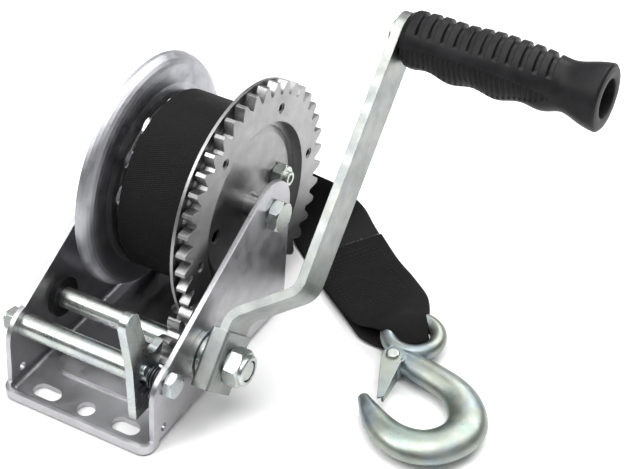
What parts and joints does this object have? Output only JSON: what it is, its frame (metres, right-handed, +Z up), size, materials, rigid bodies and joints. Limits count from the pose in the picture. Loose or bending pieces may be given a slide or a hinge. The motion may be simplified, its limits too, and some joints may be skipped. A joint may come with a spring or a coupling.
{
  "type": "boat trailer winch",
  "caption": "Hand-cranked trailer winch with a geared drum of webbing strap, a pawl lever, a long crank with a ribbed grip, and a snap hook.",
  "frame": {"origin": "on the mounting face, midway between the side plates, 24 mm behind the front lip", "axes": "+X across the winch towards the crank, +Y from the front lip to the rear, +Z up off the mounting face"},
  "size_m": [0.2664, 0.2276, 0.1899],
  "materials": {
    "galvanised": "satin galvanised sheet",
    "flange_steel": "satin zinc sheet",
    "gear_steel": "satin zinc plated steel",
    "zinc": "bright zinc plating",
    "hook_zinc": "zinc plated forging, faint iridescence",
    "steel": "plain steel",
    "dark_steel": "dark spring steel",
    "black_plastic": "black nylon",
    "blue_nylon": "dark blue nylon",
    "rubber": "matt black rubber",
    "webbing": "black woven webbing"
  },
  "bodies": {
    "frame": {"winch_frame": "galvanised", "axle_bolt": "zinc", "axle_nut": "zinc", "axle_sleeve": "steel", "left_bush": "black_plastic", "right_bush": "zinc", "pawl_bolt": "zinc", "pawl_nut": "zinc", "pawl_sleeve": "zinc", "pawl_spring": "dark_steel", "strap_tail": "webbing"},
    "drum": {"drum_left_flange": "flange_steel", "drum_right_flange": "gear_steel", "drum_barrel": "steel", "drum_bush_left": "steel", "drum_bush_right": "steel", "drum_gear": "gear_steel", "gear_rivets": "gear_steel", "strap_anchor_bolt": "zinc", "strap_anchor_nut": "zinc", "strap_winding": "webbing"},
    "crank": {"crank_shaft": "zinc", "shaft_clip": "dark_steel", "pinion": "gear_steel", "crank_washer": "zinc", "crank_spacer": "zinc", "crank_arm": "zinc", "crank_clip": "zinc", "crank_nut": "zinc", "crank_nut_insert": "blue_nylon", "grip_axle": "zinc"},
    "grip": {"grip": "rubber"},
    "pawl": {"pawl": "zinc", "pawl_stud": "zinc"},
    "hook": {"hook_body": "hook_zinc", "hook_latch_rivet": "zinc"},
    "latch": {"hook_latch": "hook_zinc"}
  },
  "joints": [
    {"name": "drum_spin", "type": "hinge", "parent": "frame", "child": "drum", "pos_m": [0, 0.1065, 0.0745], "axis": [1, 0, 0], "continuous": true},
    {"name": "crank_spin", "type": "hinge", "parent": "frame", "child": "crank", "pos_m": [0, 0.03079, 0.03288], "axis": [1, 0, 0], "continuous": true, "deforming": ["strap_tail"]},
    {"name": "grip_spin", "type": "hinge", "parent": "crank", "child": "grip", "pos_m": [0.15, 0.16725, 0.17077], "axis": [1, 0, 0], "continuous": true},
    {"name": "pawl_pivot", "type": "hinge", "parent": "frame", "child": "pawl", "pos_m": [0.032, -0.0007, 0.036], "axis": [1, 0, 0], "range_deg": [0, 20], "stiffness_Nm_per_rad": 0.05, "springref_deg": -17.19},
    {"name": "hook_swing", "type": "hinge", "parent": "frame", "child": "hook", "pos_m": [0.1168, 0.1309, 0.009], "axis": [-0.6, -0.8, 0], "range_deg": [0, 40], "deforming": ["strap_tail"]},
    {"name": "latch_pivot", "type": "hinge", "parent": "hook", "child": "latch", "pos_m": [0.1283, 0.0968, 0.0083], "axis": [0, 0, 1], "range_deg": [0, 22], "stiffness_Nm_per_rad": 0.02, "springref_deg": -11.46}
  ],
  "couplings": [
    {"joint": "crank_spin", "follows": "drum_spin", "ratio": -4}
  ]
}
